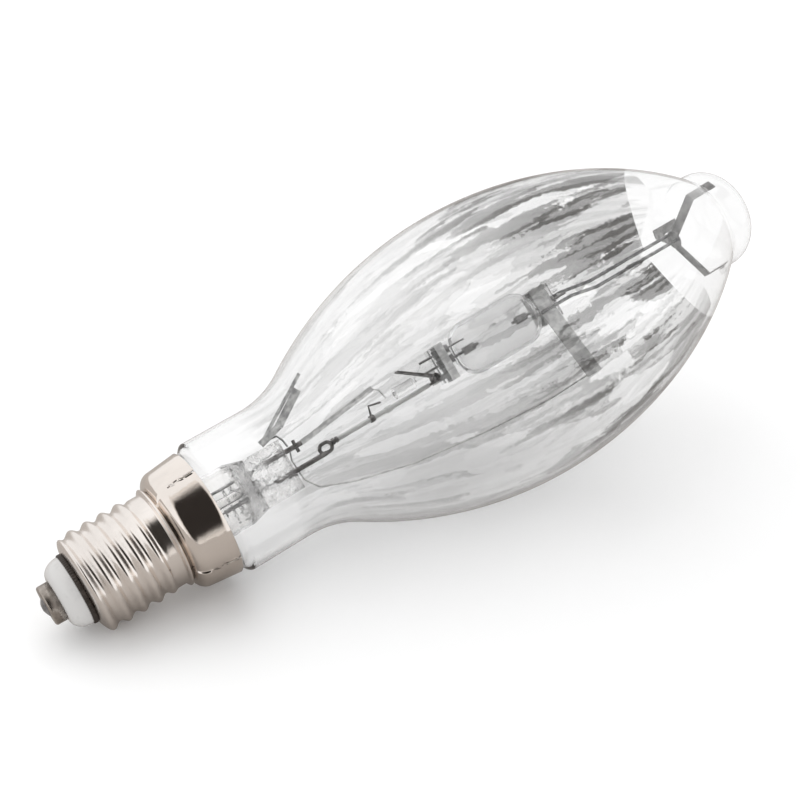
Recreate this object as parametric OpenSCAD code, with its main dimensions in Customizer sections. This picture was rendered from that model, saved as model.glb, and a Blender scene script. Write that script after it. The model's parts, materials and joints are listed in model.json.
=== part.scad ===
// Metal halide lamp with a large screw cap, lying on a table.
// Every piece is drawn along the lamp's own axis, with the contact face at zero and the
// nose at the top, and lay_down() then rests the whole lamp on the XY plane.

/* [Cap] */
// Outer diameter over the thread crests
thread_d = 39.5; // [38.5:0.1:40]
// Thread pitch
thread_pitch = 6.35; // [6:0.05:6.7]
// Depth of the rolled thread
thread_depth = 1.8; // [1.2:0.1:2.2]
// Thickness of the shell's sheet metal
shell_wall = 0.45; // [0.3:0.05:0.7]
// Diameter of the centre contact
contact_d = 15.6; // [13:0.1:17]
// Height of the centre contact
contact_h = 4.6; // [3.5:0.1:6]
// Width of the solder drop on the contact
solder_d = 8; // [6:0.5:10]
// Height of the solder drop
solder_h = 1.5; // [1:0.1:2.5]
// Height of the white insulator between contact and ring
insulator_h = 7; // [6:0.1:9]
// Diameter of the dark ring at the shell's end
ring_d = 28.4; // [26:0.1:30]
// Thickness of the dark ring
ring_h = 1.8; // [1:0.1:3]
// Length of the screw shell, from the ring to the collar
shell_len = 37; // [34:0.5:42]
// Height of the collar
collar_h = 16.6; // [13:0.1:20]
// Diameter of the collar at its rim
collar_d = 51.2; // [50:0.1:53]
// How much smaller in diameter the collar is at its shoulder
collar_taper = 2.8; // [1:0.1:4]
// Thickness of the collar's sheet metal
collar_wall = 0.5; // [0.4:0.05:0.8]
// Depth of the lock slits in the collar's rim
slit_len = 5.6; // [4:0.2:8]
// Width of the lock slits
slit_w = 0.7; // [0.5:0.1:1.2]

/* [Outer bulb] */
// Largest diameter of the bulb
bulb_d = 120; // [112:1:126]
// Thickness of the bulb's glass
glass_wall = 1; // [0.7:0.1:1.6]
// Diameter of the neck
neck_d = 54.8; // [54:0.2:57]
// From the collar's rim to the widest place
rim_to_widest = 142; // [136:1:150]
// From the widest place to the end of the nose
widest_to_end = 129; // [126:1:136]
// From the collar's rim to where the neck begins to widen
neck_len = 29.6; // [26:0.2:32]
// Radius of the hollow curve between neck and body
neck_blend = 40; // [30:1:46]
// Diameter of the nose
nose_d = 44.6; // [42:0.2:46]
// Length of the nose, from its foot to its end
nose_len = 16.4; // [15:0.2:18]
// Radius of the rounded edge of the nose
nose_edge = 12; // [8:0.5:14]
// Radius of the hollow curve at the foot of the nose
nose_blend = 3; // [1.5:0.5:5]

/* [Stem] */
// Outer diameter of the stem's tube
stem_d = 25.6; // [22:0.2:27]
// Thickness of the stem's glass
stem_wall = 1.2; // [0.8:0.1:1.6]
// Where the press begins, from the collar's rim
press_from_rim = 20; // [16:1:24]
// Length of the flat press
press_len = 17; // [14:1:20]
// Width of the press
press_w = 21; // [18:0.5:23]
// Thickness of the press
press_t = 7; // [5.5:0.5:9]
// Diameter of the exhaust tube
exhaust_d = 4.4; // [4:0.2:4.8]
// Diameter of the lead wires below the press
lead_d = 1.1; // [0.8:0.1:1.6]
// Diameter of the two posts above the press
post_d = 2; // [1.6:0.1:2.4]
// Length of the return post above the press
return_len = 8.5; // [7:0.5:10]
// From the press to the middle of the eyelet loop
loop_rise = 16.2; // [14:0.2:18]

/* [Arc tube] */
// Outer diameter of the quartz arc tube
arc_d = 23; // [20:0.5:25]
// Thickness of the quartz
arc_wall = 1.5; // [1:0.1:2]
// Length of the arc tube between its seals
arc_len = 40; // [38:1:42]
// Length of each pinch seal
pinch_len = 11; // [10.5:0.5:13]
// Width of the pinch seals
pinch_w = 15; // [13:0.5:17]
// Thickness of the pinch seals
pinch_t = 5; // [4:0.5:6]
// From the widest place of the bulb back to the middle of the arc tube
arc_from_widest = 1; // [-3:1:3]
// How far the arc tube sits off the lamp's axis
arc_offset = 4; // [2:0.5:5]
// Diameter of the electrode rods
electrode_d = 1.2; // [0.8:0.1:1.6]
// Outer diameter of the electrode coils
coil_d = 3.4; // [2.6:0.1:4]

/* [Frame] */
// Diameter of the two frame rods
rod_d = 1.5; // [1.2:0.1:2]
// Diameter of the feed rod
feed_rod_d = 1.1; // [0.8:0.1:1.3]
// Outer diameter of the quartz sleeves on the feed rod
sleeve_d = 1.9; // [1.8:0.1:2.6]
// Thickness of straps and clamps
strap_t = 0.6; // [0.4:0.1:1]
// Width of the straps
strap_w = 7.4; // [5:0.2:8]
// How far the cross strap reaches from the axis
strap_reach = 31.6; // [28:0.2:34]
// Diameter of the thin return wire
return_d = 0.7; // [0.5:0.1:1]
// From the end spring's hub to the end of the nose
spring_from_end = 32; // [30:0.5:34]
// Diameter of the end spring's hub
hub_d = 8.4; // [7:0.2:10]
// How far the starter's strip leans out from the axis
start_reach = 9.7; // [9:0.1:10.5]
// Length of the getter strips
getter_len = 27.8; // [24:0.2:30]
// Width of the end spring's arms
spring_w = 4.2; // [3:0.2:6]
// Thickness of the end spring
spring_t = 0.5; // [0.3:0.1:0.8]

/* [Hidden] */
$fn = 64;

// Heights along the lamp's axis
insulator_z = contact_h;
ring_z = insulator_z + insulator_h;
shell_z = ring_z + ring_h;
collar_z = shell_z + shell_len;
rim_z = collar_z + collar_h;
widest_z = rim_z + rim_to_widest;
end_z = widest_z + widest_to_end;
press_z = rim_z + press_from_rim;
press_top = press_z + press_len;

// Radii and walls that neighbours share
crest_r = thread_d/2;
root_r = crest_r - thread_depth;
plain_r = root_r + 0.7;
ring_seat_r = ring_d/2 - 2;
fit_gap = 0.1;
lip_r = ring_seat_r + fit_gap;
curl_h = 2.4;
bead_r = plain_r + 1.7;
bead_z = collar_z - 1.6;
shoulder_r = (collar_d - collar_taper)/2;
shoulder_curve = 5;
shoulder_z = collar_z + shoulder_curve;
rim_r = collar_d/2;
seat_r = shoulder_r - collar_wall - 0.8;
seat_z = collar_z + 9;
neck_r = neck_d/2;
bulb_r = bulb_d/2;
nose_r = nose_d/2;
stem_r = stem_d/2;
seal_z = collar_z - 17;
seal_r = root_r - shell_wall - 1.6;
seal_h = 1.3;

// Thread phase: the crest that faces the eye, and the turn that brings that side round
crest_z = shell_z + 1.8;
eye_turn = 229.7;
down_angle = 360 - eye_turn;

// The body's two curves meet at its widest place. Each touches the hollow curve at its other
// end, and its centre lies beyond the axis by a drop
blend_z = rim_z + neck_len;
blend_dz = widest_z - blend_z;
neck_side_curve = (pow(neck_r + neck_blend - bulb_r, 2) + blend_dz*blend_dz - neck_blend*neck_blend)
    /(2*(bulb_r - neck_r));
foot_r = nose_r + nose_blend;
foot_dz = widest_to_end - nose_len;
nose_side_curve = (pow(bulb_r - foot_r, 2) + foot_dz*foot_dz - nose_blend*nose_blend)
    /(2*(nose_blend + bulb_r - foot_r));
neck_drop = neck_side_curve - bulb_r;
nose_drop = nose_side_curve - bulb_r;
blend_angle = atan2(blend_dz, -(neck_r + neck_blend + neck_drop));
foot_angle = atan2(foot_dz, foot_r + nose_drop);

// The lamp rests on one thread crest and on the body's neck-side curve
rest_z = crest_z + thread_pitch*down_angle/360;
rest_run = widest_z - rest_z;
rest_drop = crest_r + neck_drop;
lay_tilt = asin(neck_side_curve/sqrt(rest_run*rest_run + rest_drop*rest_drop)) - atan2(rest_drop, rest_run);
solder_curve = (solder_d*solder_d/4 + solder_h*solder_h)/(2*solder_h);
low_x = (solder_curve - solder_h)*cos(lay_tilt) - solder_curve;
high_x = (end_z - nose_edge)*cos(lay_tilt) + (nose_r - nose_edge)*sin(lay_tilt) + nose_edge;
lift = crest_r*cos(lay_tilt) - rest_z*sin(lay_tilt);

// Places of the inner parts: height along the axis, with y to the right and down for an
// eye that looks along -x
arc_z = widest_z - arc_from_widest;
arc_y = -arc_offset;
arc_foot = arc_z - arc_len/2;
arc_head = arc_z + arc_len/2;
pinch_foot = arc_foot - pinch_len;
pinch_head = arc_head + pinch_len;
foil_len = 8;
foil_w = 3.4;
foil_t = 0.3;
foil_gap = 1.5;
start_y = arc_y - pinch_w/2 + 2.9;
arc_lead_r = 0.5;
arc_lead_len = 5;
post_r = post_d/2;
post_y = -5;
feed_y = 3.4;
post_foot = press_top - 9;
return_top = press_top + return_len;
loop_r = 1.9;
loop_wire = 0.75;
loop_flat = 1.6;
loop_y = feed_y - loop_r;
loop_z = press_top + loop_rise;
rod_r = rod_d/2;
feed_r = feed_rod_d/2;
rod_y = 0.8;
rod_end = pinch_foot - 0.5;
sleeve_r = sleeve_d/2;
crimp_z = loop_z + loop_flat/2 + loop_r + loop_wire;
crimp_h = 2.6;
sleeve_z = crimp_z + crimp_h;
bead_foot = rod_end - 26.7;
bead_h = 2.4;
sleeve_end = rod_end - 5.5;
clamp_out = pinch_t/2 + strap_t;
far_clamp_z = arc_head + 1.6;
strap_lean = 3.9;
frame_x = clamp_out + rod_r;
spring_z = end_z - spring_from_end;
wall_r = nose_r - glass_wall;
arm_z = spring_z + 6;
arm_end = end_z - nose_edge - 0.5;
arm_x = sqrt(wall_r*wall_r - spring_w*spring_w/4) - 0.02;
resistor_x = 3;
resistor_y = -3.2;
resistor_z = bead_foot + bead_h + 3;
resistor_len = 9;
resistor_r = 2.4;

// Points of an arc in the plane of radius and height
function arc(cr, cz, r, a0, a1, n) =
    [for (i = [0:n]) let (a = a0 + (a1 - a0)*i/n) [cr + r*cos(a), cz + r*sin(a)]];

// A soft step from one radius to another
function soft_step(r0, z0, r1, z1, n) =
    [for (i = [0:n]) [r0 + (r1 - r0)*(1 - cos(180*i/n))/2, z0 + (z1 - z0)*i/n]];

function smooth(v) = let (c = max(0, min(1, v))) c*c*(3 - 2*c);

// Places the whole lamp as it lies, its origin under the middle of its box
module lay_down()
    translate([-(low_x + high_x)/2, 0, lift])
        rotate([0, 90 - lay_tilt, 0])
            rotate([0, 0, eye_turn])
                children();

// A round bar from one point to another
module bar(a, b, r) {
    d = b - a;
    translate(a)
        rotate([0, acos(d[2]/norm(d)), atan2(d[1], d[0])])
            cylinder(h = norm(d), r = r, $fn = 24);
}

function unit(v) = v/norm(v);

// A round wire swept along a list of points: a ring of corners at each point, square to
// the way the wire runs there
module wire(points, r, sides = 12) {
    n = len(points);
    ways = [for (i = [0:n - 1])
        unit(points[min(i + 1, n - 1)] - points[max(i - 1, 0)])];
    rings = [for (i = [0:n - 1]) for (j = [0:sides - 1])
        let (u = unit(cross(ways[i], [1, 0, 0])), v = cross(ways[i], u), a = 360*j/sides)
        points[i] + r*(cos(a)*u + sin(a)*v)];
    walls = [for (i = [0:n - 2]) for (j = [0:sides - 1])
        let (k = (j + 1) % sides, low = i*sides, high = low + sides)
        each [[low + j, high + j, low + k], [low + k, high + j, high + k]]];
    ends = [[for (j = [0:sides - 1]) j], [for (j = [sides - 1:-1:0]) (n - 1)*sides + j]];
    polyhedron(points = rings, faces = concat(walls, ends));
}

// A flat strip from one height and offset to another, its width along x
module strip(y0, z0, y1, z1, w, t, x = 0)
    translate([x, y0, z0])
        rotate([-atan2(y1 - y0, z1 - z0), 0, 0])
            translate([-w/2, -t/2, 0])
                cube([w, t, norm([y1 - y0, z1 - z0])]);

// A plain tube along the axis
module tube(z0, z1, r_out, r_in)
    translate([0, 0, z0])
        difference() {
            cylinder(h = z1 - z0, r = r_out);
            translate([0, 0, -1])
                cylinder(h = z1 - z0 + 2, r = r_in);
        }

module centre_contact() {
    r = contact_d/2;
    edge = 0.9;
    stem = 3;
    lay_down() color("silver")
        difference() {
            union() {
                rotate_extrude()
                    polygon(concat([[0, 0]], arc(r - edge, edge, edge, -90, 0, 8),
                        [[r, insulator_z], [0, insulator_z]]));
                cylinder(h = insulator_z + 2, r = stem);
            }
            translate([0, 0, -1])
                cylinder(h = insulator_z + 4, r = lead_d/2 + fit_gap);
        }
}

module contact_solder() {
    half_angle = asin(solder_d/2/solder_curve);
    lay_down() color("gray")
        rotate_extrude()
            polygon(concat([[0, 0]],
                arc(0, solder_curve - solder_h, solder_curve, half_angle - 90, -90, 12)));
}

module insulator() {
    foot_r = contact_d/2 + 0.6;
    dome_r = ring_d/2 - 0.5;
    flange_z = shell_z + shell_wall + 0.3;
    lay_down() color("ivory")
        difference() {
            rotate_extrude()
                polygon(concat([[0, insulator_z]],
                    [for (i = [0:14]) let (a = 90*i/14)
                        [foot_r + (dome_r - foot_r)*sin(a), insulator_z + insulator_h*(1 - cos(a))]],
                    [[ring_seat_r, ring_z], [ring_seat_r, flange_z], [ring_seat_r + 2, flange_z],
                     [ring_seat_r + 2, flange_z + 1.6], [0, flange_z + 1.6]]));
            translate([0, 0, insulator_z - 1])
                cylinder(h = 3, r = 3);
            translate([0, 0, insulator_z - 1])
                cylinder(h = 20, r = lead_d/2 + fit_gap);
        }
}

module insulator_ring()
    lay_down() color([0.15, 0.12, 0.1])
        tube(ring_z, shell_z, ring_d/2, ring_seat_r);

// Radius of the shell's outside: a curled lip, the rolled thread, a plain part and a bead
function thread_r(z, a) =
    root_r + thread_depth*(1 + cos(360*(z - crest_z)/thread_pitch - a))/2;
function shell_r(z, a) =
    let (curl = min(1, (z - shell_z)/curl_h),
         body = thread_r(z, a) + (plain_r - thread_r(z, a))*smooth((z - bead_z + 8)/4),
         bead = abs(z - bead_z) < 1.5 ? (bead_r - plain_r)*(1 + cos(120*(z - bead_z)))/2 : 0)
    lip_r + (body + bead - lip_r)*sqrt(1 - (1 - curl)*(1 - curl));

// The shell is one thin rolled sheet: an outer grid of points and an inner one
module screw_shell() {
    sides = 40;
    step = thread_pitch/8;
    curl_rows = [for (u = [0, 0.06, 0.16, 0.32, 0.55, 0.8]) shell_z + curl_h*u];
    rows = concat(curl_rows, [for (z = [shell_z + curl_h:step:collar_z - 0.1]) z], [collar_z]);
    n = len(rows);
    outer = [for (z = rows) for (j = [0:sides - 1]) let (a = 360*j/sides, r = shell_r(z, a))
        [r*cos(a), r*sin(a), z]];
    inner = [for (z = rows) for (j = [0:sides - 1])
        let (a = 360*j/sides, u = 90*min(1, (z - shell_z)/curl_h), r = shell_r(z, a) - shell_wall*sin(u))
        [r*cos(a), r*sin(a), z + shell_wall*cos(u)]];
    m = n*sides;
    function at(i, j) = i*sides + j % sides;
    walls = [for (i = [0:n - 2]) for (j = [0:sides - 1])
        each [[at(i, j), at(i + 1, j), at(i, j + 1)], [at(i, j + 1), at(i + 1, j), at(i + 1, j + 1)],
              [m + at(i, j), m + at(i, j + 1), m + at(i + 1, j)],
              [m + at(i, j + 1), m + at(i + 1, j + 1), m + at(i + 1, j)]]];
    rims = [for (j = [0:sides - 1])
        each [[at(0, j), at(0, j + 1), m + at(0, j)], [at(0, j + 1), m + at(0, j + 1), m + at(0, j)],
              [at(n - 1, j), m + at(n - 1, j), at(n - 1, j + 1)],
              [at(n - 1, j + 1), m + at(n - 1, j), m + at(n - 1, j + 1)]]];
    lay_down() color("silver")
        polyhedron(points = concat(outer, inner), faces = concat(walls, rims));
}

// Outside radius of the collar above its shoulder
function collar_r(z) = shoulder_r + (rim_r - shoulder_r)*(z - shoulder_z)/(rim_z - shoulder_z);

module skirt_collar() {
    foot_r = plain_r - shell_wall;
    slits = 4;
    first_slit = 52;
    lay_down() color("silver")
        difference() {
            rotate_extrude()
                polygon(concat([[foot_r, collar_z]],
                    arc(shoulder_r - shoulder_curve, shoulder_z, shoulder_curve, -90, 0, 12),
                    [[rim_r, rim_z], [rim_r - collar_wall, rim_z]],
                    arc(shoulder_r - shoulder_curve, shoulder_z, shoulder_curve - collar_wall, 0, -90, 12),
                    [[foot_r, collar_z + collar_wall]]));
            for (i = [0:slits - 1])
                rotate([0, 0, first_slit + 360*i/slits])
                    translate([shoulder_r - 3, -slit_w/2, rim_z - slit_len])
                        cube([8, slit_w, slit_len + 1]);
        }
}

module cap_cement() {
    z0 = seat_z;
    z1 = rim_z - 1.2;
    lay_down() color("lightgray")
        rotate_extrude()
            polygon([[seat_r, z0], [collar_r(z0) - collar_wall - 0.02, z0],
                [collar_r(z1) - collar_wall - 0.02, z1], [seat_r, z1]]);
}

// The bulb's outline from the seal in the cap to the middle of the nose; a shift below
// zero gives the inside of the glass
function bulb_outline(shift) =
    let (out = nose_side_curve + shift,
         foot_side = nose_blend - shift)
    concat([[seal_r + shift, seal_z]],
        soft_step(seal_r + shift, collar_z - 1, seat_r + shift, seat_z, 10),
        soft_step(seat_r + shift, rim_z, neck_r + shift, rim_z + 4.5, 8),
        arc(neck_r + neck_blend, blend_z, neck_blend - shift, 180, blend_angle, 10),
        arc(-neck_drop, widest_z, neck_side_curve + shift, blend_angle - 180, 0, 20),
        arc(-nose_drop, widest_z, out, 2, foot_angle, 24),
        arc(foot_r, widest_z + foot_dz, foot_side, 180 + foot_angle, 180, 5),
        arc(nose_r - nose_edge, end_z - nose_edge, nose_edge + shift, 0, 90, 10),
        [[0, end_z + shift]]);

module outer_bulb() {
    inside = bulb_outline(-glass_wall);
    lay_down() color([0.9, 0.95, 1, 0.25])
        rotate_extrude()
            polygon(concat(bulb_outline(0), [for (i = [len(inside) - 1:-1:0]) inside[i]]));
}

module lead_holes() {
    exhaust_shape(exhaust_d/2);
    posts_in_press();
    bar([0, post_y, press_z - 8], [0, post_y, post_foot], lead_d/2);
    bar([0, feed_y, press_z - 8], [0, feed_y, post_foot], lead_d/2);
}

module posts_in_press() {
    bar([0, post_y, post_foot], [0, post_y, press_top + 1], post_r);
    bar([0, feed_y, post_foot], [0, feed_y, press_top + 1], post_r);
}

// Flare, tube and flat press are one piece of glass
module stem_glass() {
    rim = seal_r - glass_wall;
    tube_top = press_z - 6;
    lay_down() color([0.85, 0.9, 0.92, 0.4])
        difference() {
            union() {
                rotate_extrude()
                    polygon(concat([[rim - stem_wall, seal_z], [rim, seal_z], [rim, seal_z + seal_h]],
                        soft_step(rim - 0.6, seal_z + seal_h, stem_r, seal_z + 10, 8),
                        [[stem_r, tube_top], [stem_r - stem_wall, tube_top]],
                        soft_step(stem_r - stem_wall, seal_z + 10, rim - stem_wall, seal_z, 8)));
                hull() {
                    translate([0, 0, tube_top - 0.5])
                        cylinder(h = 0.5, r = stem_r - 0.1, $fn = 40);
                    translate([-press_t/2, -press_w/2, press_z])
                        cube([press_t, press_w, 1]);
                }
                translate([-press_t/2, -press_w/2, press_z])
                    cube([press_t, press_w, press_len]);
            }
            hull() {
                translate([0, 0, tube_top - 1])
                    cylinder(h = 1, r = stem_r - stem_wall, $fn = 40);
                translate([-press_t/4, -press_w/3, press_z - 2])
                    cube([press_t/2, press_w/1.5, 0.5]);
            }
            lead_holes();
        }
}

module exhaust_shape(r) {
    translate([0, 0, shell_z + 12])
        cylinder(h = press_z + 3 - shell_z - 12, r = r);
    translate([0, 0, shell_z + 12])
        sphere(r = r);
}

module exhaust_tube()
    lay_down() color([0.85, 0.9, 0.92, 0.5])
        difference() {
            exhaust_shape(exhaust_d/2);
            exhaust_shape(exhaust_d/2 - 0.9);
        }

module lead_to_contact() {
    turn_z = shell_z + 6;
    lay_down() color("silver")
        wire([[0, 0, 0], [0, 0, turn_z - 3], [0, post_y, turn_z], [0, post_y, post_foot]], lead_d/2);
}

module lead_to_shell() {
    out_z = seal_z - 5;
    hook_z = rim_z + 5;
    wall_y = root_r - shell_wall - 0.6;
    lay_down() color("dimgray") {
        wire([[0, wall_y, out_z - 2], [0, feed_y, out_z], [0, feed_y, hook_z]], lead_d/3);
        wire([[0, feed_y + 1.8, hook_z + 1], [0, feed_y, hook_z], [0, feed_y, press_z - 2]], 0.85);
        bar([0, feed_y, press_z - 2], [0, feed_y, post_foot], lead_d/2);
    }
}

// Half of a wire ring, its open side towards the middle of the loop
module half_loop(up)
    translate([0, 0, up*loop_flat/2])
        intersection() {
            rotate([0, 90, 0])
                rotate_extrude()
                    translate([loop_r, 0])
                        circle(r = loop_wire, $fn = 24);
            translate([-loop_r, -2*loop_r, up > 0 ? 0 : -2*loop_r])
                cube([2*loop_r, 4*loop_r, 2*loop_r]);
        }

// A post that turns into a long eyelet loop, and the thin rod that leaves it
module feed_post() {
    offset_y = loop_y - rod_y;
    rise = loop_flat/2 + sqrt(loop_r*loop_r - offset_y*offset_y);
    lay_down() color("dimgray") {
        bar([0, feed_y, post_foot], [0, feed_y, loop_z - loop_flat/2], post_r);
        translate([0, loop_y, loop_z]) {
            half_loop(1);
            half_loop(-1);
            for (side = [-loop_r, loop_r])
                bar([0, side, -loop_flat/2], [0, side, loop_flat/2], loop_wire);
        }
        bar([0, rod_y, loop_z + rise], [0, rod_y, rod_end], feed_r);
    }
}

module return_post()
    lay_down() color("dimgray") {
        bar([0, post_y, post_foot], [0, post_y, return_top], post_r);
        bar([0, post_y - 2.6, return_top - 2.6], [0, post_y + 2.6, return_top - 2.6], 0.7);
    }

module along_rod()
    translate([0, rod_y, 0])
        children();

module sleeve_crimp()
    lay_down() color("dimgray")
        along_rod()
            rotate_extrude()
                polygon([[feed_r, crimp_z], [sleeve_r + 0.4, crimp_z], [sleeve_r + 0.4, crimp_z + 0.9],
                    [sleeve_r, crimp_z + 1], [sleeve_r, sleeve_z - 0.9], [sleeve_r + 0.3, sleeve_z - 0.8],
                    [sleeve_r + 0.3, sleeve_z], [feed_r, sleeve_z]]);

module rod_sleeve_lower()
    lay_down() color("whitesmoke")
        along_rod()
            tube(sleeve_z, bead_foot, sleeve_r, feed_r + fit_gap);

module sleeve_bead()
    lay_down() color("white")
        along_rod()
            tube(bead_foot, bead_foot + bead_h, sleeve_r + 0.35, feed_r + fit_gap);

module rod_sleeve_upper()
    lay_down() color("whitesmoke")
        along_rod()
            tube(bead_foot + bead_h, sleeve_end, sleeve_r, feed_r + fit_gap);

module feed_link() {
    top = rod_end - 0.4;
    tall = 3;
    lay_down() color("silver")
        difference() {
            translate([-strap_t/2, arc_y, top - tall])
                cube([strap_t, rod_y - arc_y, tall]);
            bar([0, rod_y, top - tall - 1], [0, rod_y, top + 1], feed_r);
            bar([0, arc_y, top - tall - 1], [0, arc_y, top + 1], arc_lead_r);
        }
}

module return_wire() {
    r = return_d/2;
    strap_x = clamp_out - r;
    end_y = strap_reach - 1.2;
    strap_z = far_clamp_z + strap_lean;
    z0 = return_top - 5;
    lay_down() color("silver")
        wire([[-post_r - r + 0.05, post_y, z0], [-4, -1, z0 - 0.8], [-5, 8, z0], [-5, end_y*0.45, z0 + 4],
              [-5, end_y*0.62, z0 + 18], [-4.6, end_y*0.82, z0 + 43], [-3, end_y*0.96, arc_z - 23],
              [0, end_y + 0.8, arc_z + 7], [strap_x, end_y + 0.2, strap_z + 1],
              [strap_x, end_y, strap_z + strap_w - 1]], r);
}

// The quartz body and the solid slabs where its ends are pinched flat
module arc_tube() {
    r = arc_d/2;
    corner = 8;
    in_r = r - arc_wall;
    lay_down() color([0.92, 0.92, 0.95, 0.5])
        translate([0, arc_y, 0])
            difference() {
                union() {
                    rotate_extrude()
                        polygon(concat([[0, arc_foot]], arc(r - corner, arc_foot + corner, corner, -90, 0, 10),
                            arc(r - corner, arc_head - corner, corner, 0, 90, 10), [[0, arc_head]]));
                    for (z = [pinch_foot, arc_head - 1.5])
                        translate([-pinch_t/2, -pinch_w/2, z])
                            cube([pinch_t, pinch_w, pinch_len + 1.5]);
                }
                rotate_extrude()
                    polygon(concat([[0, arc_foot + arc_wall]],
                        arc(r - corner, arc_foot + corner, corner - arc_wall, -90, 0, 10),
                        arc(r - corner, arc_head - corner, corner - arc_wall, 0, 90, 10),
                        [[0, arc_head - arc_wall]]));
                translate([0, -arc_y, 0]) {
                    foil_shapes();
                    lead_shapes();
                    bar([0, arc_y, arc_foot - foil_gap], [0, arc_y, arc_foot + 3], electrode_d/2);
                    bar([0, arc_y, arc_head - 3], [0, arc_y, arc_head + foil_gap], electrode_d/2);
                    bar([0, start_y, arc_foot - foil_gap], [0, start_y, arc_foot + 5], electrode_d/3);
                }
            }
}

module foil_shapes() {
    foot = arc_foot - foil_gap - foil_len;
    for (p = [[arc_y, foot], [start_y, foot], [arc_y, arc_head + foil_gap]])
        translate([-foil_t/2, p[0] - foil_w/2, p[1]])
            cube([foil_t, foil_w, foil_len]);
}

module lead_shapes() {
    foil_foot = arc_foot - foil_gap - foil_len;
    foil_head = arc_head + foil_gap + foil_len;
    for (y = [arc_y, start_y])
        bar([0, y, pinch_foot - arc_lead_len], [0, y, foil_foot], arc_lead_r);
    bar([0, arc_y, foil_head], [0, arc_y, pinch_head + arc_lead_len + 2], arc_lead_r);
}

module foils()
    lay_down() color("slategray")
        foil_shapes();

module arc_leads()
    lay_down() color("dimgray")
        lead_shapes();

// An electrode: a rod with a close coil near its tip
module electrode(z, side) {
    turns = 6;
    coil_r = (coil_d/2 - electrode_d/2)/2;
    lay_down() color("dimgray")
        translate([0, arc_y, z])
            rotate([side > 0 ? 0 : 180, 0, 0]) {
                    translate([0, 0, -foil_gap])
                        cylinder(h = foil_gap + 11, r = electrode_d/2, $fn = 24);
                    for (i = [0:turns - 1])
                        translate([0, 0, 4 + i*coil_r*1.7])
                            rotate_extrude()
                                translate([electrode_d/2 + coil_r - 0.05, 0])
                                    circle(r = coil_r, $fn = 20);
                }
}

module electrode_base() electrode(arc_foot, 1);

module electrode_far() electrode(arc_head, -1);

module starting_electrode()
    lay_down() color("dimgray")
        bar([0, start_y, arc_foot - foil_gap], [0, start_y, arc_foot + 6.5], electrode_d/3);

// A band that is folded round a pinch seal
module clamp_band(z, h)
    translate([0, arc_y, z])
        difference() {
            translate([-clamp_out, -pinch_w/2 - strap_t, 0])
                cube([2*clamp_out, pinch_w + 2*strap_t, h]);
            translate([-pinch_t/2, -pinch_w/2, -1])
                cube([pinch_t, pinch_w, h + 2]);
        }

module clamp_base() {
    foot_z = rod_end - 3;
    lay_down() color("silver") {
        clamp_band(pinch_foot + 3, strap_w/2);
        translate([-clamp_out, rod_y - 1.2, foot_z])
            cube([strap_t, 2.4, pinch_foot + 3.5 - foot_z]);
        translate([-clamp_out, rod_y - 1.2, foot_z])
            cube([clamp_out - feed_r, 2.4, strap_t]);
    }
}

module clamp_far()
    lay_down() color("silver")
        clamp_band(far_clamp_z, strap_w);

// A flat strap on the clamp's face that leans a little towards the nose
module cross_strap() {
    foot_y = arc_y + pinch_w/2 - 3.5;
    lay_down() color("darkgray")
        translate([clamp_out, 0, far_clamp_z])
            rotate([90, 0, 90])
                linear_extrude(height = strap_t)
                    polygon([[foot_y, 0], [strap_reach, strap_lean], [strap_reach, strap_lean + strap_w],
                        [foot_y, strap_w]]);
}

// Two rods from the far clamp, drawn together before they reach the end spring
module frame_rods() {
    lay_down() color("darkgray")
        for (side = [-1, 1])
            wire([[side*frame_x, side*1.8 - 3.4, far_clamp_z], [side*frame_x, side*1.8 - 3.4, arc_head + 18],
                  [side*1.4, side*1.8 - 1.2, arc_head + 32], [side*1.4, side*1.8 - 1.2, spring_z]], rod_r);
}

module far_link() {
    z = pinch_head + 5;
    lay_down() color("silver")
        difference() {
            bar([0, arc_y, z], [-frame_x, -5.2, z], 0.5);
            bar([0, arc_y, z - 3], [0, arc_y, z + 3], arc_lead_r);
            bar([-frame_x, -5.2, z - 3], [-frame_x, -5.2, z + 3], rod_r);
        }
}

// One folded sheet: a hub with three arms that press on the wall of the nose
module end_spring() {
    hub_r = hub_d/2;
    arm_foot = hub_r/3;
    lay_down() color("darkgray") {
        translate([0, 0, spring_z])
            cylinder(h = spring_t, r = hub_r);
        for (a = [90, -36, -162])
            rotate([90, 0, a])
                linear_extrude(height = spring_w, center = true)
                    polygon([[arm_foot, spring_z], [hub_r, spring_z], [arm_x, arm_z], [arm_x, arm_end],
                        [arm_x - spring_t, arm_end], [arm_x - spring_t, arm_z + spring_t],
                        [hub_r - spring_t/2, spring_z + spring_t], [arm_foot, spring_z + spring_t]]);
    }
}

// The bimetal strip and the curl that is welded to the feed rod
module bimetal_switch() {
    w = 3.6;
    t = 0.5;
    curl_r = 1.8;
    curl_y = rod_y - curl_r + 0.4;
    curl_z = rod_end - 2.6;
    lay_down() color("dimgray")
        translate([feed_r, curl_y, curl_z])
            rotate([90, 0, 90]) {
                difference() {
                    cylinder(h = w, r = curl_r);
                    translate([0, 0, -1])
                        cylinder(h = w + 2, r = curl_r - t);
                }
                linear_extrude(height = w)
                    polygon([[-1, -1.2], [-5.9, -8], [-9.6, -13.5], [-9.6 - t, -13.2], [-5.9 - t, -7.7],
                        [-t/2 - 1.3, -0.2]]);
            }
}

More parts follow.
